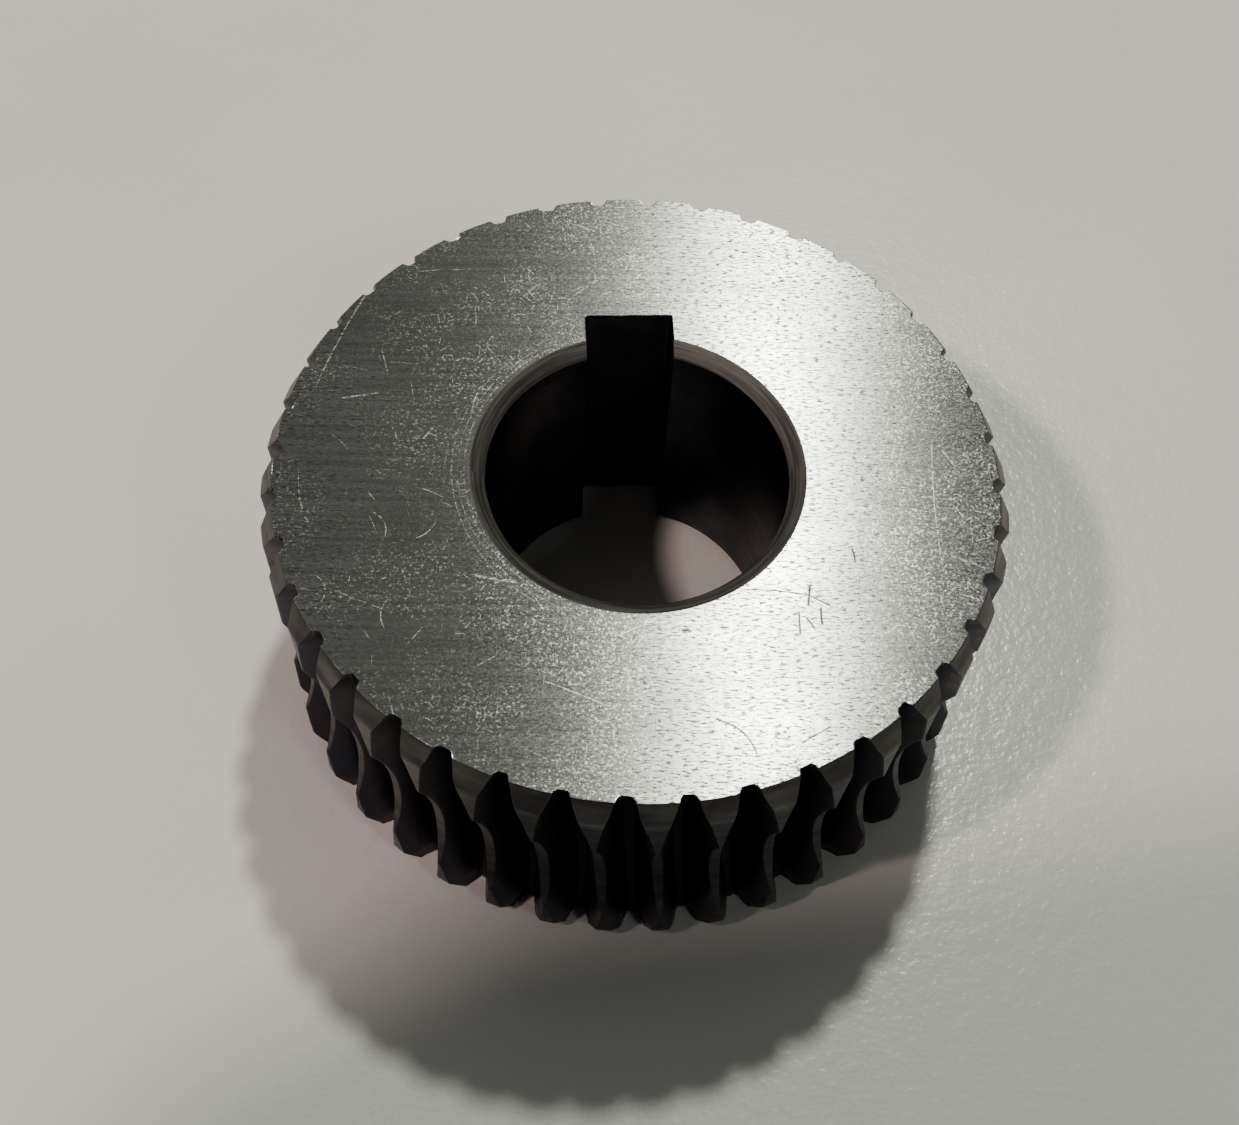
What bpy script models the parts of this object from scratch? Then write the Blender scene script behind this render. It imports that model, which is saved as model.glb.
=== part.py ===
"""Worm wheel: a 40-tooth throated helical gear with a keyed bore, one piece of steel.

Frame: metres, +Z along the bore axis, origin at the centre of the lower face, keyway towards +Y.
"""

import math

import bmesh
import bpy
import numpy as np

MM = 0.001

# The turned blank
THICKNESS = 21.0 * MM
FACE_RADIUS = 23.75 * MM
OUTER_RADIUS = 24.65 * MM
RIM_CHAMFER_HEIGHT = 1.6 * MM
THROAT_Z = 9.85 * MM
THROAT_HALF_WIDTH = 5.4 * MM
THROAT_DEPTH = 1.15 * MM

# The bore and its keyway
BORE_RADIUS = 10.0 * MM
BORE_CHAMFER_WIDTH = 1.0 * MM
BORE_CHAMFER_DEPTH = 0.7 * MM
KEY_WIDTH = 6.0 * MM
KEYWAY_FLOOR = 12.8 * MM

# The teeth, and the hob that cuts them
TOOTH_COUNT = 40
MODULE = 1.13 * MM
HOB_STARTS = 2
HOB_PITCH_RADIUS = 18.3 * MM
HOB_ADDENDUM = 2.4 * MM
HOB_HALF_TOOTH = 1.06 * MM
PRESSURE_ANGLE = math.radians(20.0)
SPACE_ANGLE = math.radians(95.83)

# How finely the surfaces are divided
BORE_SEGMENTS = 56
THROAT_STEPS = 6
ROLL_REACH = 0.5
ROLL_STEPS = 401
FLANK_FRACTIONS = (0.12, 0.55, 1.0)
SHARP_ANGLE = math.radians(28.0)

# Worked out from the sizes above
PITCH_ANGLE = 2.0 * math.pi / TOOTH_COUNT
PITCH_RADIUS = MODULE * TOOTH_COUNT / 2.0
CENTRE_DISTANCE = PITCH_RADIUS + HOB_PITCH_RADIUS
HOB_TIP_RADIUS = HOB_PITCH_RADIUS + HOB_ADDENDUM
HOB_LEAD = HOB_STARTS * math.pi * MODULE
THROAT_ARC_RADIUS = (THROAT_HALF_WIDTH**2 + THROAT_DEPTH**2) / (2.0 * THROAT_DEPTH)


def clear_scene():
    """Removes every object that the file holds."""
    for item in list(bpy.data.objects):
        bpy.data.objects.remove(item)


def steel():
    """Plain machined steel."""
    material = bpy.data.materials.new("machined_steel")
    material.use_nodes = True
    shader = material.node_tree.nodes["Principled BSDF"]
    shader.inputs["Base Color"].default_value = (0.52, 0.52, 0.50, 1.0)
    shader.inputs["Metallic"].default_value = 1.0
    shader.inputs["Roughness"].default_value = 0.36
    return material


def tip_radius(z):
    """Radius of the blank at a height: chamfers at both faces and a concave throat between them."""
    from_face = min(z, THICKNESS - z)
    if from_face < RIM_CHAMFER_HEIGHT:
        slope = (OUTER_RADIUS - FACE_RADIUS) / RIM_CHAMFER_HEIGHT
        return FACE_RADIUS + slope * from_face
    across = abs(z - THROAT_Z)
    if across < THROAT_HALF_WIDTH:
        arc_centre = OUTER_RADIUS - THROAT_DEPTH + THROAT_ARC_RADIUS
        return arc_centre - math.sqrt(THROAT_ARC_RADIUS**2 - across**2)
    return OUTER_RADIUS


def root_radius(z):
    """Radius of the floor of a tooth space, which follows the hob's tips round the hob's axis."""
    return CENTRE_DISTANCE - math.sqrt(HOB_TIP_RADIUS**2 - (z - THROAT_Z) ** 2)


def space_sides(radius, z):
    """The two angles between which a tooth space is open, measured from its middle at the throat.

    At each height the hob's section is a rack that rolls on the pitch circle. Its thickness falls
    with distance from the hob's axis, and its lead shifts it sideways with height, so the teeth lean.
    """
    roll = np.linspace(-ROLL_REACH, ROLL_REACH, ROLL_STEPS)
    across = z - THROAT_Z
    inward = CENTRE_DISTANCE - radius * np.cos(roll)
    from_hob_axis = np.hypot(inward, across)
    half_thickness = HOB_HALF_TOOTH - (from_hob_axis - HOB_PITCH_RADIUS) * math.tan(PRESSURE_ANGLE)
    cutting = (from_hob_axis <= HOB_TIP_RADIUS) & (half_thickness > 0.0)
    shift = -HOB_LEAD * np.arctan2(across, inward) / (2.0 * math.pi)
    middle = shift + PITCH_RADIUS * roll - radius * np.sin(roll)
    low = np.min((middle - half_thickness)[cutting]) / PITCH_RADIUS
    high = np.max((middle + half_thickness)[cutting]) / PITCH_RADIUS
    return low, high


def tooth_outline(z):
    """Radius and angle of the points round one tooth, from the floor of one space to the next."""
    root = root_radius(z)
    depth = tip_radius(z) - root
    hob_side = math.atan2(z - THROAT_Z, CENTRE_DISTANCE - root)
    outline = [(root, -HOB_LEAD * hob_side / (2.0 * math.pi * PITCH_RADIUS))]
    falling = []
    for fraction in FLANK_FRACTIONS:
        radius = root + fraction * depth
        low, high = space_sides(radius, z)
        outline.append((radius, high))
        falling.append((radius, low + PITCH_ANGLE))
    return outline + falling[::-1]


def rim_ring(z):
    """The points of the toothed rim at one height."""
    outline = tooth_outline(z)
    ring = []
    for tooth in range(TOOTH_COUNT):
        start = SPACE_ANGLE + tooth * PITCH_ANGLE
        for radius, angle in outline:
            ring.append((radius * math.cos(start + angle), radius * math.sin(start + angle), z))
    return ring


def rim_heights():
    """Heights of the rim's rings, from the lower face to the upper."""
    low = THROAT_Z - THROAT_HALF_WIDTH
    high = THROAT_Z + THROAT_HALF_WIDTH
    throat = list(np.linspace(low, high, THROAT_STEPS + 1))
    return [0.0, RIM_CHAMFER_HEIGHT] + throat + [THICKNESS - RIM_CHAMFER_HEIGHT, THICKNESS]


def bore_ring(radius, z):
    """The round of the bore at one height, open at the keyway, and the keyway's two corners."""
    half_key = KEY_WIDTH / 2.0
    gap = math.asin(half_key / radius)
    start = math.pi / 2.0 + gap
    sweep = 2.0 * (math.pi - gap)
    ring = [(half_key, KEYWAY_FLOOR, z), (-half_key, KEYWAY_FLOOR, z)]
    for step in range(BORE_SEGMENTS + 1):
        angle = start + sweep * step / BORE_SEGMENTS
        ring.append((radius * math.cos(angle), radius * math.sin(angle), z))
    return ring


def bore_rings():
    """The bore's rings, from the lower face to the upper, with a chamfer at each end."""
    mouth = BORE_RADIUS + BORE_CHAMFER_WIDTH
    return [
        bore_ring(mouth, 0.0),
        bore_ring(BORE_RADIUS, BORE_CHAMFER_DEPTH),
        bore_ring(BORE_RADIUS, THICKNESS - BORE_CHAMFER_DEPTH),
        bore_ring(mouth, THICKNESS),
    ]


def skin(mesh, rings):
    """Joins rings of equally many points with quads, and returns the rings' vertices."""
    rows = [[mesh.verts.new(point) for point in ring] for ring in rings]
    for lower, upper in zip(rows, rows[1:]):
        for i in range(len(lower)):
            j = (i + 1) % len(lower)
            mesh.faces.new((lower[i], lower[j], upper[j], upper[i]))
    return rows


def loop_edges(mesh, row):
    """The edges between neighbouring vertices of a closed row."""
    return [mesh.edges.get((row[i], row[(i + 1) % len(row)])) for i in range(len(row))]


def worm_wheel():
    """The whole wheel as one closed body."""
    mesh = bmesh.new()
    rim = skin(mesh, [rim_ring(z) for z in rim_heights()])
    bore = skin(mesh, bore_rings())
    for end in (0, -1):
        edges = loop_edges(mesh, rim[end]) + loop_edges(mesh, bore[end])
        bmesh.ops.triangle_fill(mesh, use_beauty=True, edges=edges)
    bmesh.ops.recalc_face_normals(mesh, faces=mesh.faces)
    data = bpy.data.meshes.new("worm_wheel")
    mesh.to_mesh(data)
    mesh.free()
    data.materials.append(steel())
    data.shade_smooth()
    data.set_sharp_from_angle(angle=SHARP_ANGLE)
    wheel = bpy.data.objects.new("worm_wheel", data)
    bpy.context.scene.collection.objects.link(wheel)
    return wheel


clear_scene()
worm_wheel()
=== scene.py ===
"""Visual model of the worm wheel: one turned, bored, hobbed and ground piece of steel.

Frame: metres, +Z along the bore axis, origin at the centre of the lower face, keyway towards +Y.
The blank and the hob have the CAD's sizes. The teeth are sampled more finely here, and the marks that
machining and handling leave are added: hob break-outs, a burr, worn edges, grinding lines and scratches.
"""

import math

import bmesh
import bpy
import numpy as np
from mathutils import Euler, Matrix, Vector, noise


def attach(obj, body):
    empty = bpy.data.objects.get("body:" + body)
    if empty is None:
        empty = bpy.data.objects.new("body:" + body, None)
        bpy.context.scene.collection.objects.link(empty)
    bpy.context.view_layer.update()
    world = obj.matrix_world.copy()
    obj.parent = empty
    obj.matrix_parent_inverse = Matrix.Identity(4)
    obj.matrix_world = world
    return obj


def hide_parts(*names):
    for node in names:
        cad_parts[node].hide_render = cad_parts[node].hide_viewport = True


MM = 0.001

# The turned blank
THICKNESS = 21.0 * MM
FACE_RADIUS = 23.75 * MM
OUTER_RADIUS = 24.65 * MM
RIM_CHAMFER_HEIGHT = 1.6 * MM
THROAT_Z = 9.85 * MM
THROAT_HALF_WIDTH = 5.4 * MM
THROAT_DEPTH = 1.15 * MM

# The bore and its keyway
BORE_RADIUS = 10.0 * MM
BORE_CHAMFER_WIDTH = 1.0 * MM
BORE_CHAMFER_DEPTH = 0.7 * MM
KEY_WIDTH = 6.0 * MM
KEYWAY_FLOOR = 12.8 * MM
KEYWAY_FILLET = 0.18 * MM
KEYWAY_RAGGED = 0.05 * MM
KEYWAY_RAGGED_WAVE = 0.5 * MM

# The teeth, and the hob that cuts them
TOOTH_COUNT = 40
MODULE = 1.13 * MM
HOB_STARTS = 2
HOB_PITCH_RADIUS = 18.3 * MM
HOB_ADDENDUM = 2.4 * MM
HOB_HALF_TOOTH = 1.06 * MM
PRESSURE_ANGLE = math.radians(20.0)
SPACE_ANGLE = math.radians(95.83)

# Where the hob breaks out of the faces, and how much that differs from space to space
BREAKOUT_WIDEN = 0.22 * MM
BREAKOUT_DEEPEN = 0.13 * MM
BREAKOUT_REACH = 0.9 * MM
BREAKOUT_WOBBLE = 0.085 * MM
BREAKOUT_FLOOR_SHARE = 0.2
WIDEN_RANGE = (0.75, 1.25)
SKEW_RANGE = (-0.35, 0.35)
DEEPEN_RANGE = (0.5, 1.6)

# Worn edges, and the burr that grinding leaves along the rim
EDGE_BREAK = 0.045 * MM
EDGE_DROP = 0.004 * MM
BURR_HEIGHT = 0.008 * MM
BURR_WIDTH = 0.06 * MM
BURR_WAVE = 1.3 * MM
BURR_RIPPLE = 0.45 * MM
BURR_FULL_X = -14.0 * MM

# The grinding lines fall slightly towards +X
GRINDING_TURN = math.radians(2.7)

# Scratches on the upper face: middle (mm), direction (degrees), length (mm), half width (mm), bend (1/m)
BRIGHT_SCRATCHES = (
    ((-10.7, 5.5), 76, 3.2, 0.06, 60.0),
    ((-13.7, 3.0), 53, 1.3, 0.07, 0.0),
    ((-13.6, -4.7), 45, 2.2, 0.06, -250.0),
    ((-16.7, 9.0), -78, 2.6, 0.05, 0.0),
    ((-16.4, -3.9), -65, 2.4, 0.06, 350.0),
    ((-21.9, -1.4), -82, 3.8, 0.06, -50.0),
    ((-19.9, -8.7), -79, 2.4, 0.06, 400.0),
    ((-16.4, -10.6), 85, 2.4, 0.07, 300.0),
    ((-2.6, 15.6), 39, 3.2, 0.05, 0.0),
    ((0.4, 18.6), 37, 4.2, 0.045, 0.0),
    ((-4.2, -16.6), -26, 5.4, 0.05, 10.0),
    ((19.1, -3.5), 86, 11.5, 0.045, 8.0),
    ((-19.4, 12.2), 68, 12.5, 0.09, 8.0),
    ((-18.3, 6.2), 9, 2.8, 0.11, 0.0),
    ((-9.4, -8.3), -12, 3.2, 0.15, 0.0),
)
# These scratches lie in the key light's bright band and are painted black there, as painted shade
SHADED_SCRATCHES = (
    ((8.1, -9.6), -7, 4.8, 0.09, 25.0),
    ((10.7, -10.3), -33, 2.2, 0.10, 0.0),
    ((10.2, -10.0), 80, 1.8, 0.15, 0.0),
    ((10.8, -11.5), 88, 1.5, 0.15, 80.0),
    ((9.4, -12.0), 87, 1.9, 0.12, 0.0),
    ((10.1, -12.0), -61, 1.1, 0.12, 0.0),
    ((2.3, -12.3), 10, 0.5, 0.22, 0.0),
    ((5.3, -19.4), -50, 3.8, 0.10, 180.0),
    ((9.6, -19.6), 29, 2.4, 0.07, 0.0),
    ((13.4, -7.1), -85, 1.3, 0.10, 200.0),
)

# The circles that a washer rubbed round the bore: radius and half width
RUB_RINGS = ((11.35 * MM, 0.10 * MM), (11.75 * MM, 0.05 * MM), (12.15 * MM, 0.07 * MM))
RUB_MIDDLE = 11.75 * MM

# How finely the surfaces are divided
FLANK_FRACTIONS = (0.02, 0.07, 0.14, 0.24, 0.36, 0.50, 0.64, 0.78, 0.90, 0.97, 1.0)
LAND_STEPS = 6
NEAR_FACE_HEIGHTS = (0.05 * MM, 0.12 * MM, 0.22 * MM, 0.36 * MM, 0.55 * MM, 0.80 * MM, 1.10 * MM, 1.40 * MM)
CORNER_STEP = 0.03 * MM
LOWER_BAND_STEPS = 5
THROAT_STEPS = 22
UPPER_BAND_STEPS = 6
KEY_SIDE_STEPS = 6
KEY_FILLET_STEPS = 4
KEY_FLOOR_STEPS = 20
BORE_WALL_STEPS = 6
BORE_SEGMENTS = 220
ROLL_REACH = 0.5
ROLL_STEPS = 801
SHARP_ANGLE = math.radians(26.0)
RANDOM_SEED = 11

# Worked out from the sizes above
PITCH_ANGLE = 2.0 * math.pi / TOOTH_COUNT
PITCH_RADIUS = MODULE * TOOTH_COUNT / 2.0
CENTRE_DISTANCE = PITCH_RADIUS + HOB_PITCH_RADIUS
HOB_TIP_RADIUS = HOB_PITCH_RADIUS + HOB_ADDENDUM
HOB_LEAD = HOB_STARTS * math.pi * MODULE
THROAT_ARC_RADIUS = (THROAT_HALF_WIDTH**2 + THROAT_DEPTH**2) / (2.0 * THROAT_DEPTH)

# Material slots of the wheel's mesh
GROUND, TURNED, HOBBED, BORED, CHAMFERED = range(5)

# Turned marks are laid out on the rim unrolled at this radius
UNROLLED_RADIUS = 24.5 * MM

# The staging, with the camera's turn in degrees and the card's outline in millimetres in the camera's plane
TABLE_HALF = 0.6
LIGHT_DISTANCE = 1.0
CAMERA_PLACE = (-7.23 * MM, -61.71 * MM, 109.43 * MM)
CAMERA_TURN = (31.683, -2.059, -2.626)
CARD_OUTLINE = ((-96, -150), (12, -150), (12, 18), (8, 22), (-77, 9), (-94, -2))
CARD_BEHIND = 4.0


# ---------------------------------------------------------------- shape of the rim


def tip_radius(z):
    """Radius of the blank at a height: chamfers at both faces and a concave throat between them."""
    from_face = min(z, THICKNESS - z)
    if from_face < RIM_CHAMFER_HEIGHT:
        slope = (OUTER_RADIUS - FACE_RADIUS) / RIM_CHAMFER_HEIGHT
        return FACE_RADIUS + slope * from_face
    across = abs(z - THROAT_Z)
    if across < THROAT_HALF_WIDTH:
        arc_centre = OUTER_RADIUS - THROAT_DEPTH + THROAT_ARC_RADIUS
        return arc_centre - math.sqrt(THROAT_ARC_RADIUS**2 - across**2)
    return OUTER_RADIUS


def root_radius(z):
    """Radius of the floor of a tooth space, which follows the hob's tips round the hob's axis."""
    return CENTRE_DISTANCE - math.sqrt(HOB_TIP_RADIUS**2 - (z - THROAT_Z) ** 2)


def space_middle(z):
    """The angle of the middle of a tooth space's floor, which the hob's lead shifts with height."""
    hob_side = math.atan2(z - THROAT_Z, CENTRE_DISTANCE - root_radius(z))
    return -HOB_LEAD * hob_side / (2.0 * math.pi * PITCH_RADIUS)


def space_sides(radius, z):
    """The two angles between which a tooth space is open, measured from its middle at the throat.

    At each height the hob's section is a rack that rolls on the pitch circle. Its thickness falls
    with distance from the hob's axis, and its lead shifts it sideways with height, so the teeth lean.
    """
    roll = np.linspace(-ROLL_REACH, ROLL_REACH, ROLL_STEPS)
    across = z - THROAT_Z
    inward = CENTRE_DISTANCE - radius * np.cos(roll)
    from_hob_axis = np.hypot(inward, across)
    half_thickness = HOB_HALF_TOOTH - (from_hob_axis - HOB_PITCH_RADIUS) * math.tan(PRESSURE_ANGLE)
    cutting = (from_hob_axis <= HOB_TIP_RADIUS) & (half_thickness > 0.0)
    shift = -HOB_LEAD * np.arctan2(across, inward) / (2.0 * math.pi)
    middle = shift + PITCH_RADIUS * roll - radius * np.sin(roll)
    low = np.min((middle - half_thickness)[cutting]) / PITCH_RADIUS
    high = np.max((middle + half_thickness)[cutting]) / PITCH_RADIUS
    return low, high


def between(low, high, steps):
    """The values that divide low..high into equal steps, without the two ends."""
    return list(np.linspace(low, high, steps + 1)[1:-1])


def rim_heights():
    """Heights of the rim's rings, closest together at the faces and at each corner of the profile."""
    low = THROAT_Z - THROAT_HALF_WIDTH
    high = THROAT_Z + THROAT_HALF_WIDTH
    end = THICKNESS - RIM_CHAMFER_HEIGHT
    bottom = list(NEAR_FACE_HEIGHTS)
    lower_band = [RIM_CHAMFER_HEIGHT - CORNER_STEP, RIM_CHAMFER_HEIGHT + CORNER_STEP]
    lower_band += between(RIM_CHAMFER_HEIGHT, low, LOWER_BAND_STEPS)
    throat = [low - CORNER_STEP, low + CORNER_STEP]
    throat += between(low, high, THROAT_STEPS)
    throat += [high - CORNER_STEP, high + CORNER_STEP]
    upper_band = between(high, end, UPPER_BAND_STEPS)
    upper_band += [end - CORNER_STEP, end + CORNER_STEP]
    top = [THICKNESS - z for z in reversed(bottom)]
    return bottom + lower_band + throat + upper_band + top


class ToothCharacter:
    """How one tooth space's break-outs differ from the next: wider, skewed or deeper, on each face."""

    def __init__(self, random):
        self.widen = random.uniform(*WIDEN_RANGE, 2)
        self.skew = random.uniform(*SKEW_RANGE, 2)
        self.deepen = random.uniform(*DEEPEN_RANGE, 2)
        self.seed = random.uniform(0.0, 100.0)


def breakout(z):
    """How strongly the break-out of the nearer face shows at a height, from 1 at the face to 0."""
    from_face = min(z, THICKNESS - z)
    return math.exp(-((from_face / BREAKOUT_REACH) ** 2))


def wobble(character, strand, place, z):
    """Small unevenness of a break-out. Each strand is a row of points with a pattern of its own."""
    per_place = 3.1
    per_strand = 7.7
    per_mm = 0.9
    at = Vector((character.seed, place * per_place + strand * per_strand, z / MM * per_mm))
    return noise.noise(at) * BREAKOUT_WOBBLE * breakout(z)


def space_side_points(z, character, direction, inset):
    """One side of a tooth space, from beside the middle of its floor up to the worn edge of the land."""
    face = 0 if z < THICKNESS / 2.0 else 1
    near = breakout(z)
    root = root_radius(z)
    depth = tip_radius(z) - root
    widen = BREAKOUT_WIDEN * near * (character.widen[face] + direction * character.skew[face])
    deepen = BREAKOUT_DEEPEN * near * character.deepen[face]
    points = []
    for place, fraction in enumerate(FLANK_FRACTIONS):
        radius = root + fraction * (depth - EDGE_BREAK)
        low, high = space_sides(radius, z)
        side = high if direction > 0 else low
        rounding = math.sqrt(1.0 - (1.0 - fraction) ** 2)
        spread = BREAKOUT_FLOOR_SHARE + (1.0 - BREAKOUT_FLOOR_SHARE) * rounding
        outward = widen * spread + inset
        side += (direction * outward + direction * wobble(character, direction, place, z)) / radius
        lowered = radius - deepen * (1.0 - fraction) ** 2 - inset
        lowered += wobble(character, direction + 2, place, z) * (1.0 - fraction)
        points.append((lowered, side))
    floor_radius, floor_side = points[0]
    middle = space_middle(z)
    part_way = (floor_radius - 0.02 * deepen, middle + 0.5 * (floor_side - middle))
    return [part_way] + points


def rim_ring(z, height, characters, inset=0.0):
    """The outline of the toothed rim at z, moved inwards by inset and placed at height."""
    middle = space_middle(z)
    tip = tip_radius(z) - inset
    rising = [space_side_points(z, character, 1, inset) for character in characters]
    falling = [space_side_points(z, character, -1, inset) for character in characters]
    ring = []
    for tooth in range(TOOTH_COUNT):
        start = SPACE_ANGLE + tooth * PITCH_ANGLE
        up = rising[tooth]
        down = falling[(tooth + 1) % TOOTH_COUNT]
        floor_radius = 0.5 * (up[0][0] + falling[tooth][0][0])
        land_start = up[-1][1] + EDGE_BREAK / tip
        land_end = down[-1][1] + PITCH_ANGLE - EDGE_BREAK / tip
        outline = [(floor_radius, middle)] + up
        outline += [(tip, angle) for angle in np.linspace(land_start, land_end, LAND_STEPS + 1)]
        outline += [(radius, angle + PITCH_ANGLE) for radius, angle in reversed(down)]
        for radius, angle in outline:
            ring.append((radius * math.cos(start + angle), radius * math.sin(start + angle), height))
    return ring


def column_slots():
    """The material of each column of faces round one tooth: up a flank, over the land, down a flank."""
    flank = [HOBBED] * (len(FLANK_FRACTIONS) + 1)
    land = [TURNED] * (LAND_STEPS + 2)
    return flank + land + flank


def burr(x, y):
    """Height of the thin burr along the rim, which comes and goes.

    It stands on the -X side, where the grinding wheel ran off the face.
    """
    wave = noise.noise(Vector((x, y, 0.0)) / BURR_WAVE)
    ripple = noise.noise(Vector((y, x, 9.0)) / BURR_RIPPLE)
    level = 0.6 + 1.3 * (wave + 0.6 * ripple)
    run_off = min(1.0, max(0.0, x / BURR_FULL_X))
    return BURR_HEIGHT * run_off * max(0.0, level)


def rim_rings(characters):
    """The rim's rings from the lower face's flat to the upper face's flat."""
    edge_inset = 0.3 * EDGE_BREAK
    lower_flat = rim_ring(0.0, 0.0, characters, BURR_WIDTH)
    lower_edge = rim_ring(0.0, EDGE_DROP, characters, edge_inset)
    body = [rim_ring(z, z, characters) for z in rim_heights()]
    upper_edge = rim_ring(THICKNESS, THICKNESS - EDGE_DROP, characters, edge_inset)
    crest = [(x, y, z + burr(x, y)) for x, y, z in upper_edge]
    upper_flat = rim_ring(THICKNESS, THICKNESS, characters, BURR_WIDTH)
    return [lower_flat, lower_edge] + body + [crest, upper_flat]


# ---------------------------------------------------------------- shape of the bore


def keyway_outline(half_key, floor, mouth):
    """The keyway's sides, fillets and floor at one height, from its +X side round to its -X side."""
    fillet = KEYWAY_FILLET
    reach = half_key - fillet
    rise = floor - fillet - mouth
    half = [(half_key, mouth + rise * step / KEY_SIDE_STEPS) for step in range(1, KEY_SIDE_STEPS)]
    for step in range(KEY_FILLET_STEPS + 1):
        turn = math.pi / 2.0 * step / KEY_FILLET_STEPS
        half.append((reach + fillet * math.cos(turn), floor - fillet + fillet * math.sin(turn)))
    across = [(reach - 2.0 * reach * step / KEY_FLOOR_STEPS, floor) for step in range(1, KEY_FLOOR_STEPS)]
    return half + across + [(-x, y) for x, y in reversed(half)]


def bore_ring(radius, z, grow=0.0, ragged=0.0):
    """The round of the bore and the keyway at one height, grown outwards, with a ragged keyway floor."""
    half_key = KEY_WIDTH / 2.0 + grow
    floor = KEYWAY_FLOOR + grow
    radius = radius + grow
    gap = math.asin(half_key / radius)
    ragged_above = floor - 1.5 * KEYWAY_FILLET
    ring = []
    for x, y in keyway_outline(half_key, floor, radius * math.cos(gap)):
        push = ragged * noise.noise(Vector((x, y, z)) / KEYWAY_RAGGED_WAVE)
        ring.append((x, y + push if y > ragged_above else y, z))
    start = math.pi / 2.0 + gap
    sweep = 2.0 * (math.pi - gap)
    for step in range(BORE_SEGMENTS + 1):
        angle = start + sweep * step / BORE_SEGMENTS
        ring.append((radius * math.cos(angle), radius * math.sin(angle), z))
    return ring


def chamfer_rings():
    """The rings of the lower face's bore chamfer, from the face inwards, with both corners worn."""
    slope = BORE_CHAMFER_WIDTH / BORE_CHAMFER_DEPTH
    mouth = BORE_RADIUS + BORE_CHAMFER_WIDTH
    worn = 2.0 * CORNER_STEP
    halfway = 0.3 * MM
    return [
        bore_ring(mouth, 0.0, grow=1.4 * EDGE_BREAK),
        bore_ring(mouth, 0.4 * CORNER_STEP, grow=0.3 * EDGE_BREAK, ragged=KEYWAY_RAGGED),
        bore_ring(mouth - slope * worn, worn, ragged=KEYWAY_RAGGED),
        bore_ring(mouth - slope * halfway, halfway, ragged=0.3 * KEYWAY_RAGGED),
        bore_ring(BORE_RADIUS + CORNER_STEP * slope, BORE_CHAMFER_DEPTH - CORNER_STEP),
        bore_ring(BORE_RADIUS, BORE_CHAMFER_DEPTH + CORNER_STEP),
    ]


def bore_rings():
    """The bore's rings from the lower face to the upper, and the material of each row between them."""
    lower = chamfer_rings()
    wall = [bore_ring(BORE_RADIUS, z) for z in between(0.0, THICKNESS, BORE_WALL_STEPS)]
    upper = [[(x, y, THICKNESS - z) for x, y, z in ring] for ring in reversed(lower)]
    chamfer_rows = [CHAMFERED] * (len(lower) - 1)
    return lower + wall + upper, chamfer_rows + [BORED] * (len(wall) + 1) + chamfer_rows


# ---------------------------------------------------------------- the wheel's mesh


def skin(mesh, rings):
    """Joins rings of equally many points with quads, and returns the vertices and the faces by row."""
    rows = [[mesh.verts.new(point) for point in ring] for ring in rings]
    faces = []
    for lower, upper in zip(rows, rows[1:]):
        count = len(lower)
        row = []
        for i in range(count):
            j = (i + 1) % count
            row.append(mesh.faces.new((lower[i], lower[j], upper[j], upper[i])))
        faces.append(row)
    return rows, faces


def loop_edges(mesh, row):
    """The edges between neighbouring vertices of a closed row."""
    return [mesh.edges.get((row[i], row[(i + 1) % len(row)])) for i in range(len(row))]


def toothed_rim(mesh, characters):
    """Adds the rim's rows of faces with their materials, and returns the vertices by row."""
    rows, face_rows = skin(mesh, rim_rings(characters))
    columns = column_slots()
    for faces in face_rows:
        at_face = faces is face_rows[0] or faces is face_rows[-1]
        for column, face in enumerate(faces):
            face.material_index = GROUND if at_face else columns[column % len(columns)]
    return rows


def keyed_bore(mesh):
    """Adds the bore's rows of faces with their materials, and returns the vertices by row."""
    rings, slots = bore_rings()
    rows, face_rows = skin(mesh, rings)
    key_columns = len(rings[0]) - BORE_SEGMENTS - 1
    for slot, faces in zip(slots, face_rows):
        for column, face in enumerate(faces):
            in_keyway = column < key_columns or column == len(faces) - 1
            face.material_index = BORED if in_keyway else slot
    return rows


def wheel_mesh():
    """The whole wheel as one closed mesh with a material slot for each kind of surface."""
    random = np.random.default_rng(RANDOM_SEED)
    characters = [ToothCharacter(random) for _ in range(TOOTH_COUNT)]
    mesh = bmesh.new()
    rim = toothed_rim(mesh, characters)
    bore = keyed_bore(mesh)
    curved = set(mesh.faces)
    for end in (0, -1):
        edges = loop_edges(mesh, rim[end]) + loop_edges(mesh, bore[end])
        bmesh.ops.triangle_fill(mesh, use_beauty=True, edges=edges)
    bmesh.ops.recalc_face_normals(mesh, faces=mesh.faces)
    flat = [index for index, face in enumerate(mesh.faces) if face not in curved]
    data = bpy.data.meshes.new("worm_wheel_steel")
    mesh.to_mesh(data)
    mesh.free()
    data.shade_smooth()
    data.set_sharp_from_angle(angle=SHARP_ANGLE)
    for index in flat:
        data.polygons[index].use_smooth = False
        data.polygons[index].material_index = GROUND
    return data


# ---------------------------------------------------------------- node helpers


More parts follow.
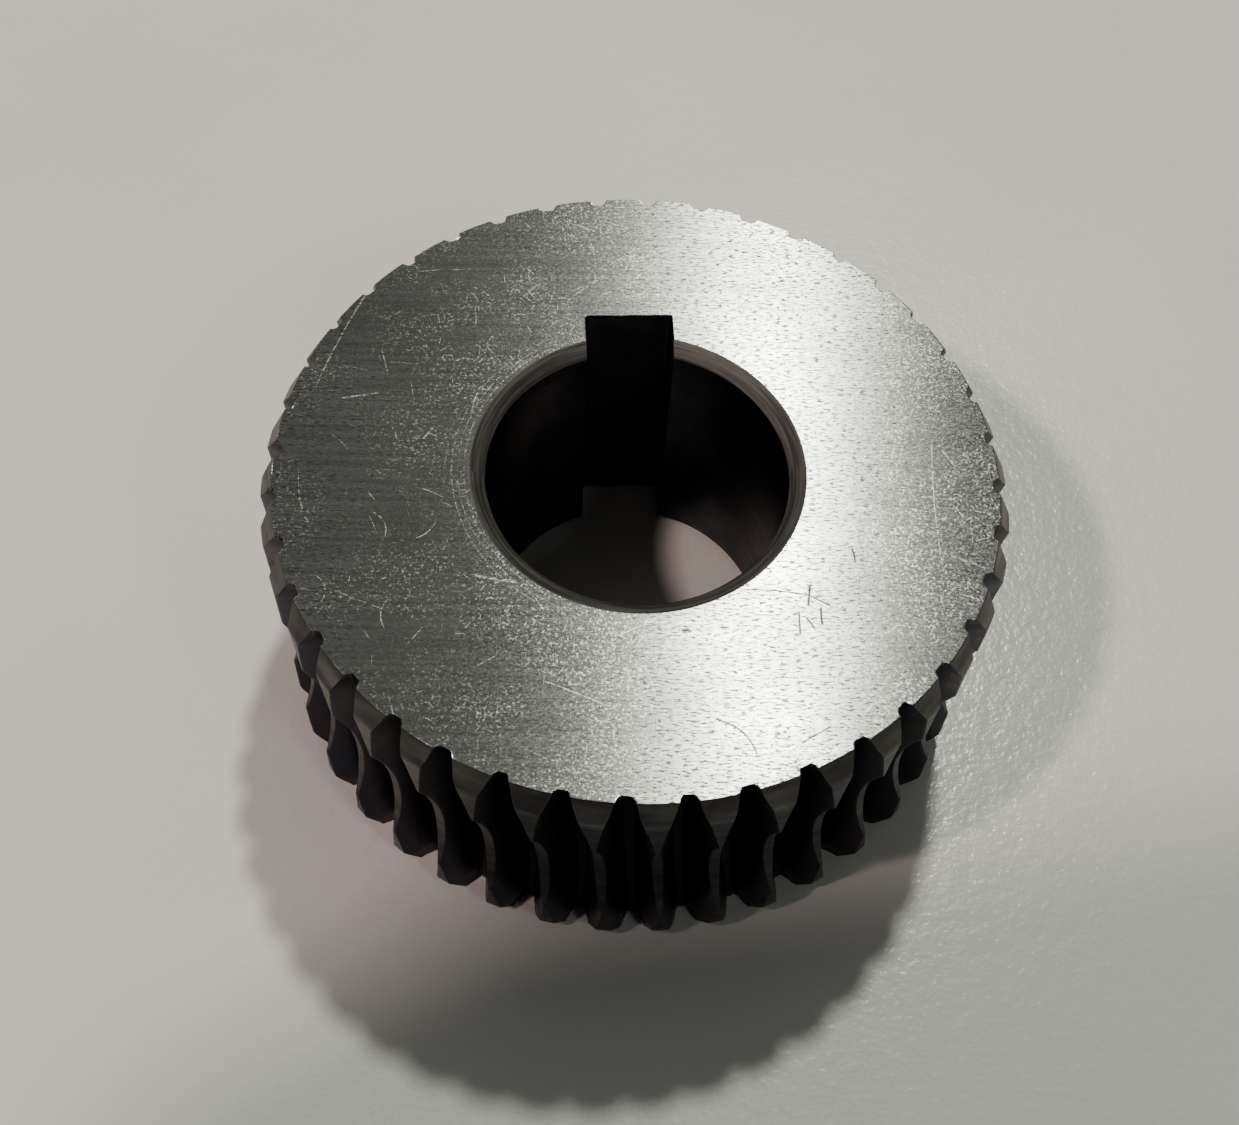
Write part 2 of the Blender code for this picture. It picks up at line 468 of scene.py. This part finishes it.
class Nodes:
    """A material under construction, with one short method for each kind of node it uses."""

    def __init__(self, name, metallic=0.0):
        self.material = bpy.data.materials.new(name)
        self.material.use_nodes = True
        self.tree = self.material.node_tree
        self.shader = self.tree.nodes["Principled BSDF"]
        self.shader.inputs["Metallic"].default_value = metallic
        self.place = self.add("ShaderNodeTexCoord").outputs["Object"]

    def add(self, kind, **settings):
        """Adds a node."""
        node = self.tree.nodes.new(kind)
        for key, value in settings.items():
            setattr(node, key, value)
        return node

    def feed(self, socket, value):
        """Links a node's output to a socket, or sets the socket to a number or colour."""
        if isinstance(value, bpy.types.NodeSocket):
            self.tree.links.new(value, socket)
        else:
            socket.default_value = value

    def shade(self, name, value):
        """Feeds one of the shader's own inputs."""
        self.feed(self.shader.inputs[name], value)

    def maths(self, operation, *values):
        """Works on one or two numbers."""
        node = self.add("ShaderNodeMath", operation=operation)
        for socket, value in zip(node.inputs, values):
            self.feed(socket, value)
        return node.outputs[0]

    def total(self, first, second):
        """The sum of two numbers."""
        return self.maths("ADD", first, second)

    def product(self, first, second):
        """The product of two numbers."""
        return self.maths("MULTIPLY", first, second)

    def distance(self, value, middle):
        """How far a number is from a middle."""
        return self.maths("ABSOLUTE", self.maths("SUBTRACT", value, middle))

    def highest(self, *values):
        """The greatest of several numbers."""
        result = values[0]
        for value in values[1:]:
            result = self.maths("MAXIMUM", result, value)
        return result

    def vector_maths(self, operation, first, second):
        """Works on two vectors."""
        node = self.add("ShaderNodeVectorMath", operation=operation)
        self.feed(node.inputs[0], first)
        self.feed(node.inputs[1], second)
        return node.outputs[0]

    def split(self, vector):
        """The x, y and z of a vector."""
        node = self.add("ShaderNodeSeparateXYZ")
        self.feed(node.inputs[0], vector)
        return node.outputs

    def join(self, x, y, z=0.0):
        """A vector from x, y and z."""
        node = self.add("ShaderNodeCombineXYZ")
        for socket, value in zip(node.inputs, (x, y, z)):
            self.feed(socket, value)
        return node.outputs[0]

    def turned(self, vector, angle):
        """A vector turned round Z."""
        node = self.add("ShaderNodeVectorRotate", rotation_type="Z_AXIS")
        self.feed(node.inputs["Vector"], vector)
        self.feed(node.inputs["Angle"], angle)
        return node.outputs[0]

    def round_place(self):
        """Distance from the axis, angle round the axis, and height."""
        x, y, z = self.split(self.place)
        radius = self.maths("SQRT", self.total(self.product(x, x), self.product(y, y)))
        return radius, self.maths("ARCTAN2", y, x), z

    def spread(self, value, low, high, start=0.0, end=1.0, smooth=True):
        """Takes value from low..high to start..end, held at both ends."""
        node = self.add("ShaderNodeMapRange", interpolation_type="SMOOTHSTEP" if smooth else "LINEAR")
        for socket, number in zip(node.inputs, (value, low, high, start, end)):
            self.feed(socket, number)
        return node.outputs[0]

    def fading(self, value, near, far):
        """1 up to near, falling to 0 at far."""
        return self.spread(value, near, far, start=1.0, end=0.0)

    def noise(self, vector, scale=1.0, detail=3.0, rough=0.6):
        """Noise between 0 and 1, with scale waves to the vector's unit."""
        node = self.add("ShaderNodeTexNoise")
        self.feed(node.inputs["Vector"], vector)
        node.inputs["Scale"].default_value = scale
        node.inputs["Detail"].default_value = detail
        node.inputs["Roughness"].default_value = rough
        return node.outputs["Fac"]

    def streaks(self, vector, along, across, detail=2.0, rough=0.5):
        """Noise drawn out along the vector's x, with this many waves to the metre along and across."""
        stretched = self.vector_maths("MULTIPLY", vector, (along, across, 0.0))
        return self.noise(stretched, 1.0, detail, rough)

    def blend(self, share, first, second):
        """Mixes two colours."""
        node = self.add("ShaderNodeMix", data_type="RGBA")
        self.feed(node.inputs[0], share)
        self.feed(node.inputs[6], first)
        self.feed(node.inputs[7], second)
        return node.outputs[2]

    def relief(self, height, distance, strength):
        """Bumps the shader's normal."""
        node = self.add("ShaderNodeBump")
        self.feed(node.inputs["Height"], height)
        node.inputs["Distance"].default_value = distance
        node.inputs["Strength"].default_value = strength
        self.shade("Normal", node.outputs[0])

    def strokes(self, vector, cell, length, width, share, bend):
        """Random strokes, at most one to a cell, each with its own direction, length, bend and strength.

        The result is up to 1 along a stroke's middle and 0 off it. share is the part of cells that have one.
        """
        cells = self.add("ShaderNodeTexVoronoi", voronoi_dimensions="2D", feature="F1")
        self.feed(cells.inputs["Vector"], vector)
        cells.inputs["Scale"].default_value = 1.0 / cell
        direction, chance, size = self.split(cells.outputs["Color"])[:3]
        local = self.vector_maths("SUBTRACT", vector, cells.outputs["Position"])
        along, across, _ = self.split(self.turned(local, self.product(direction, math.pi)))
        curl = self.product(self.maths("SUBTRACT", size, 0.5), bend)
        across = self.total(across, self.product(self.product(along, along), curl))
        reach = self.spread(size, 0.0, 1.0, start=0.15 * length, end=0.5 * length, smooth=False)
        ends = self.fading(self.maths("DIVIDE", self.maths("ABSOLUTE", along), reach), 0.4, 1.0)
        sides = self.fading(self.maths("ABSOLUTE", across), 0.0, width)
        strength = self.maths("SUBTRACT", 1.0, self.maths("DIVIDE", chance, share))
        strength = self.maths("POWER", self.spread(strength, 0.0, 1.0, smooth=False), 1.6)
        return self.product(self.product(ends, sides), strength)

    def scratch(self, middle, direction, length, width, bend):
        """One scratch, in millimetres and degrees: 1 along its middle and 0 off it."""
        local = self.vector_maths("SUBTRACT", self.place, (middle[0] * MM, middle[1] * MM, 0.0))
        along, across, _ = self.split(self.turned(local, -math.radians(direction)))
        across = self.maths("ABSOLUTE", self.total(across, self.product(self.product(along, along), bend)))
        ends = self.fading(self.maths("ABSOLUTE", along), 0.35 * length * MM, 0.5 * length * MM)
        return self.product(ends, self.fading(across, 0.0, width * MM))

    def scratches(self, rows):
        """All the scratches of a table."""
        return self.highest(*[self.scratch(*row) for row in rows])


# ---------------------------------------------------------------- materials


def rub_rings(made, radius, angle):
    """The marks that a washer left round the bore's left side: beaded circles joined by short ticks."""
    beads = made.noise(made.join(made.product(angle, 46.0), made.product(radius, 900.0)), rough=0.5)
    beads = made.spread(beads, 0.42, 0.62, start=0.12)
    ticks = made.noise(made.join(made.product(angle, 70.0), made.product(radius, 500.0), 4.0), rough=0.5)
    ticks = made.spread(ticks, 0.56, 0.68, end=0.55)
    rings = [made.fading(made.distance(radius, ring), 0.0, width) for ring, width in RUB_RINGS]
    between_rings = made.fading(made.distance(radius, RUB_MIDDLE), 0.35 * MM, 0.5 * MM)
    marks = made.highest(made.product(made.highest(*rings), beads), made.product(between_rings, ticks))
    from_left = made.distance(made.maths("ABSOLUTE", angle), math.pi)
    return made.product(marks, made.fading(from_left, 0.7, 1.5))


def handling_strokes(made):
    """Random strokes of three sizes: the short ones, and the medium and long ones together."""
    aside = made.vector_maths("ADD", made.place, (13.7 * MM, 4.1 * MM, 0.0))
    away = made.vector_maths("ADD", made.place, (-21.3 * MM, 17.9 * MM, 0.0))
    short = made.strokes(
        made.place, cell=0.9 * MM, length=0.9 * MM, width=0.045 * MM, share=0.75, bend=500.0
    )
    medium = made.strokes(aside, cell=2.1 * MM, length=2.6 * MM, width=0.05 * MM, share=0.9, bend=260.0)
    long = made.strokes(away, cell=8.0 * MM, length=12.0 * MM, width=0.045 * MM, share=0.8, bend=18.0)
    return short, made.highest(medium, long)


def ground_steel():
    """The two faces: fine parallel grinding lines under years of short handling scratches.

    The lines mirror light in a narrow band across them. A scratch scatters it, so it looks bright away
    from the band and dark within it. The grinding dashes and the band's scratches carry painted shade.
    """
    dull = (0.245, 0.248, 0.237, 1.0)
    clean = (0.32, 0.321, 0.305, 1.0)
    stained = (0.20, 0.205, 0.195, 1.0)
    # Near-black painted shade for the grinding dashes
    dash_shade = (0.025, 0.023, 0.02, 1.0)
    black = (0.012, 0.009, 0.007, 1.0)
    made = Nodes("ground_steel", metallic=1.0)
    radius, angle, _ = made.round_place()
    lines = made.turned(made.place, GRINDING_TURN)
    fine = made.streaks(lines, along=260.0, across=9500.0)
    coarse = made.streaks(lines, along=70.0, across=2600.0)
    dashes = made.streaks(lines, along=2000.0, across=7600.0, detail=3.0, rough=0.7)
    dashes = made.spread(dashes, 0.50, 0.60)
    cloud = made.noise(made.place, 140.0, rough=0.55)
    crowd = made.spread(made.noise(made.place, 190.0), 0.38, 0.62, start=0.3)
    beads = made.spread(made.noise(made.place, 5200.0, detail=2.0), 0.36, 0.60, start=0.25)
    specks = made.spread(made.noise(made.place, 5200.0, rough=0.7), 0.50, 0.68, end=0.5)
    short, longer = handling_strokes(made)
    crowded = made.product(made.highest(specks, short), crowd)
    beaded = made.product(made.highest(longer, made.scratches(BRIGHT_SCRATCHES)), beads)
    wear = made.highest(crowded, beaded, made.product(rub_rings(made, radius, angle), 0.5))
    # Painted shade: the scratches in the key light's bright band are mixed to black
    scratch_shade = made.scratches(SHADED_SCRATCHES)
    scatter = made.highest(made.product(wear, 0.9), made.product(dashes, 0.47))
    made.relief(made.total(made.product(fine, 0.6), made.product(coarse, 0.4)), 0.006 * MM, strength=1.0)
    tone = made.blend(made.spread(coarse, 0.3, 0.7), dull, clean)
    tone = made.blend(made.spread(cloud, 0.35, 0.7, end=0.4), tone, stained)
    # Painted shade: the grinding dashes are darkened nearly to black, on top of the roughness they really
    # add
    tone = made.blend(made.product(dashes, 0.9), tone, dash_shade)
    made.shade("Base Color", made.blend(scratch_shade, tone, black))
    made.shade("Anisotropic", made.maths("SUBTRACT", 0.99, scatter))
    rough = made.spread(cloud, 0.3, 0.7, start=0.27, end=0.30)
    made.shade("Roughness", made.total(rough, made.product(scatter, 0.22)))
    made.shade("Tangent", made.join(math.sin(GRINDING_TURN), math.cos(GRINDING_TURN)))
    return made.material


def turned_steel():
    """Chamfers, outer diameter and throat lands: turning lines that run round the wheel, with painted shade
    below the upper chamfer.
    """
    dark = (0.105, 0.102, 0.098, 1.0)
    light = (0.20, 0.195, 0.188, 1.0)
    brown = (0.085, 0.072, 0.065, 1.0)
    shaded = (0.045, 0.045, 0.047, 1.0)
    made = Nodes("turned_steel", metallic=1.0)
    radius, angle, z = made.round_place()
    along = made.total(z, made.product(radius, 0.6))
    rings = made.noise(made.join(made.product(along, 6500.0), made.product(angle, 3.0)))
    wide_place = made.join(made.product(along, 1500.0), made.product(angle, 5.0), 3.0)
    wide = made.noise(wide_place, detail=2.0, rough=0.5)
    cloud = made.noise(made.place, 420.0)
    unrolled = made.join(made.product(angle, UNROLLED_RADIUS), z)
    marks = made.strokes(unrolled, cell=0.9 * MM, length=0.8 * MM, width=0.05 * MM, share=0.3, bend=300.0)
    height = made.maths("SUBTRACT", made.total(rings, made.product(wide, 0.8)), marks)
    made.relief(height, 0.012 * MM, strength=0.8)
    # Painted shade: below the foot of the upper chamfer the colour is mixed 45% towards the dark shaded
    # colour
    chamfer_foot = THICKNESS - RIM_CHAMFER_HEIGHT
    shade_start = chamfer_foot - 0.05 * RIM_CHAMFER_HEIGHT
    painted_shade_below_chamfer = made.spread(z, shade_start, chamfer_foot, start=0.45, end=0.0)
    tone = made.blend(made.spread(wide, 0.3, 0.7), dark, light)
    tone = made.blend(made.spread(cloud, 0.5, 0.75, end=0.55), tone, brown)
    made.shade("Base Color", made.blend(painted_shade_below_chamfer, tone, shaded))
    made.shade("Roughness", made.spread(rings, 0.3, 0.7, start=0.34, end=0.48))
    return made.material


def hobbed_steel():
    """Tooth spaces: steel darkened by cutting oil, browner and rougher where it breaks out as burrs."""
    blue = (0.050, 0.055, 0.075, 1.0)
    violet = (0.075, 0.060, 0.070, 1.0)
    worn = (0.13, 0.115, 0.10, 1.0)
    grimy = (0.15, 0.13, 0.11, 1.0)
    made = Nodes("hobbed_steel", metallic=0.9)
    radius, angle, z = made.round_place()
    from_face = made.maths("MINIMUM", z, made.maths("SUBTRACT", THICKNESS, z))
    feed_place = made.join(made.product(z, 500.0), made.product(radius, 5200.0), made.product(angle, 40.0))
    feed_lines = made.noise(feed_place)
    cloud = made.noise(made.place, 380.0, detail=4.0)
    tint = made.noise(made.place, 170.0, detail=2.0, rough=0.5)
    ragged = made.noise(made.place, 2600.0)
    near_face = made.fading(from_face, 0.1 * MM, 0.7 * MM)
    grime = made.product(near_face, made.spread(ragged, 0.35, 0.6))
    tone = made.blend(made.spread(tint, 0.35, 0.65), blue, violet)
    tone = made.blend(made.spread(cloud, 0.55, 0.8, end=0.7), tone, worn)
    made.shade("Base Color", made.blend(grime, tone, grimy))
    rough = made.spread(cloud, 0.3, 0.7, start=0.30, end=0.46)
    made.shade("Roughness", made.total(rough, made.product(grime, 0.2)))
    torn = made.product(made.product(ragged, near_face), 2.0)
    made.relief(made.total(made.product(feed_lines, 0.6), torn), 0.015 * MM, strength=0.8)
    return made.material


def bored_steel():
    """The bore's wall and the keyway: boring rings, on steel darkened nearly to black as painted shade."""
    # Painted shade: both colours of the bore are darkened nearly to black, and the cloud only varies between
    # them
    bore_shade_dark = (0.035, 0.035, 0.042, 1.0)
    bore_shade_light = (0.075, 0.070, 0.072, 1.0)
    made = Nodes("bored_steel", metallic=0.9)
    _, angle, z = made.round_place()
    rings = made.noise(made.join(made.product(z, 7000.0), made.product(angle, 2.0)), detail=2.0)
    cloud = made.noise(made.place, 260.0, detail=4.0)
    made.shade("Base Color", made.blend(made.spread(cloud, 0.35, 0.7), bore_shade_dark, bore_shade_light))
    made.shade("Roughness", made.spread(rings, 0.3, 0.7, start=0.28, end=0.42))
    made.relief(rings, 0.012 * MM, strength=0.7)
    return made.material


def chamfer_steel():
    """The bore's chamfers: coarse turned rings with a bright worn crest here and there."""
    dark = (0.085, 0.083, 0.080, 1.0)
    crest = (0.185, 0.175, 0.167, 1.0)
    clouded = (0.10, 0.095, 0.09, 1.0)
    made = Nodes("chamfer_steel", metallic=1.0)
    radius, angle, _ = made.round_place()
    rings = made.noise(made.join(made.product(radius, 6000.0), made.product(angle, 1.5)))
    cloud = made.noise(made.place, 300.0)
    tone = made.blend(made.spread(rings, 0.35, 0.65), dark, crest)
    made.shade("Base Color", made.blend(made.spread(cloud, 0.5, 0.75, end=0.5), tone, clouded))
    made.shade("Roughness", made.spread(rings, 0.3, 0.7, start=0.62, end=0.72))
    made.relief(rings, 0.014 * MM, strength=0.9)
    return made.material


def table_top():
    """Off-white laminate with a fine orange peel."""
    dusty = (0.60, 0.595, 0.575, 1.0)
    clean = (0.63, 0.62, 0.60, 1.0)
    made = Nodes("table_laminate")
    made.shade("Specular IOR Level", 0.3)
    peel = made.noise(made.place, 2300.0, detail=2.0, rough=0.5)
    broad = made.noise(made.place, 850.0, detail=2.0, rough=0.5)
    cloud = made.noise(made.place, 25.0, rough=0.5)
    made.shade("Base Color", made.blend(made.spread(cloud, 0.35, 0.65), dusty, clean))
    made.shade("Roughness", made.spread(broad, 0.3, 0.7, start=0.19, end=0.24))
    made.relief(made.total(peel, made.product(broad, 1.5)), 0.028 * MM, strength=1.0)
    return made.material


def dark_paint():
    """Matt black."""
    made = Nodes("dark_card")
    made.shade("Base Color", (0.01, 0.01, 0.01, 1.0))
    made.shade("Roughness", 0.8)
    return made.material


# ---------------------------------------------------------------- objects


def linked(name, data):
    """An object of the scene that shows a mesh, a light or a camera."""
    item = bpy.data.objects.new(name, data)
    bpy.context.scene.collection.objects.link(item)
    return item


def wheel():
    """The wheel itself, with its five finishes in the order of the material slots."""
    data = wheel_mesh()
    for material in (ground_steel(), turned_steel(), hobbed_steel(), bored_steel(), chamfer_steel()):
        data.materials.append(material)
    return linked("worm_wheel_steel", data)


def flat_sheet(name, corners, material):
    """One flat face through its corners."""
    data = bpy.data.meshes.new(name)
    data.from_pydata(corners, [], [tuple(range(len(corners)))])
    data.materials.append(material)
    return linked(name, data)


def table():
    """The table the wheel lies on."""
    turns = ((-1, -1), (1, -1), (1, 1), (-1, 1))
    return flat_sheet("table", [(x * TABLE_HALF, y * TABLE_HALF, 0.0) for x, y in turns], table_top())


def dark_card(camera):
    """An unlit card beside the camera, which keeps the warm light off the table in front of the wheel.

    Its outline is in millimetres in the camera's plane.
    """
    corners = [camera.matrix_world @ (Vector((x, y, CARD_BEHIND)) * MM) for x, y in CARD_OUTLINE]
    card = flat_sheet("dark_card", corners, dark_paint())
    card.visible_camera = False
    return card


def soft_light(name, towards, angle, power, colour):
    """A round soft light, as wide as angle when seen from the wheel."""
    data = bpy.data.lights.new(name, "AREA")
    data.shape = "DISK"
    data.size = 2.0 * LIGHT_DISTANCE * math.tan(math.radians(angle) / 2.0)
    data.energy = power
    data.color = colour
    item = linked(name, data)
    direction = Vector(towards).normalized()
    item.location = direction * LIGHT_DISTANCE
    item.rotation_euler = direction.to_track_quat("Z", "Y").to_euler()
    item.visible_camera = False


def lights():
    """A broad ceiling and the key light from behind, a warm light from the left and a faint one in front."""
    soft_light("ceiling", (-0.15, 0.57, 0.80), angle=45.0, power=0.38, colour=(1.0, 1.0, 0.98))
    soft_light("key_light", (3.5, 11.7, 21.0), angle=4.2, power=5.3, colour=(0.96, 1.0, 0.90))
    soft_light("warm_light", (-14.0, -6.3, 21.0), angle=5.0, power=4.7, colour=(1.0, 0.82, 0.78))
    soft_light("faint_light", (13.7, -16.75, 21.0), angle=9.0, power=0.9, colour=(0.95, 1.0, 0.92))


def surroundings():
    """A dim room that is darkest on the camera's side, which is -Y."""
    dark_end, light_end = -0.8, 0.3
    least, most = 0.02, 0.15
    world = bpy.data.worlds.new("room")
    world.use_nodes = True
    tree = world.node_tree
    background = tree.nodes["Background"]
    place = tree.nodes.new("ShaderNodeTexCoord")
    split = tree.nodes.new("ShaderNodeSeparateXYZ")
    spread = tree.nodes.new("ShaderNodeMapRange")
    spread.interpolation_type = "SMOOTHSTEP"
    tree.links.new(place.outputs["Generated"], split.inputs[0])
    tree.links.new(split.outputs[1], spread.inputs[0])
    for socket, number in zip(list(spread.inputs)[1:5], (dark_end, light_end, least, most)):
        socket.default_value = number
    background.inputs["Color"].default_value = (1.0, 0.99, 0.96, 1.0)
    tree.links.new(spread.outputs[0], background.inputs["Strength"])
    bpy.context.scene.world = world


def camera():
    """A hand-held view from in front and above, rolled a few degrees."""
    data = bpy.data.cameras.new("camera")
    data.lens = 47.96
    data.sensor_width = 36.0
    data.clip_start = 0.001
    item = linked("camera", data)
    turn = Euler([math.radians(angle) for angle in CAMERA_TURN])
    item.matrix_world = Matrix.Translation(CAMERA_PLACE) @ turn.to_matrix().to_4x4()
    bpy.context.scene.camera = item
    bpy.context.view_layer.update()
    return item


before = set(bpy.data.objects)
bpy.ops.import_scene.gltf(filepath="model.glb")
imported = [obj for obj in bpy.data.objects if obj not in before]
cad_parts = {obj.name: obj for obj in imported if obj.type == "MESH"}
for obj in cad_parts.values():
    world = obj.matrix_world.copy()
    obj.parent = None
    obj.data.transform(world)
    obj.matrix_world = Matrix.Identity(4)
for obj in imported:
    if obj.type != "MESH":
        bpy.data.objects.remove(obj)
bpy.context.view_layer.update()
view = camera()
steel_wheel = wheel()
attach(steel_wheel, "root")
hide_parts("worm_wheel")
table()
dark_card(view)
lights()
surroundings()
bpy.context.scene.view_settings.view_transform = "AgX"
bpy.context.scene.view_settings.look = "AgX - Medium High Contrast"
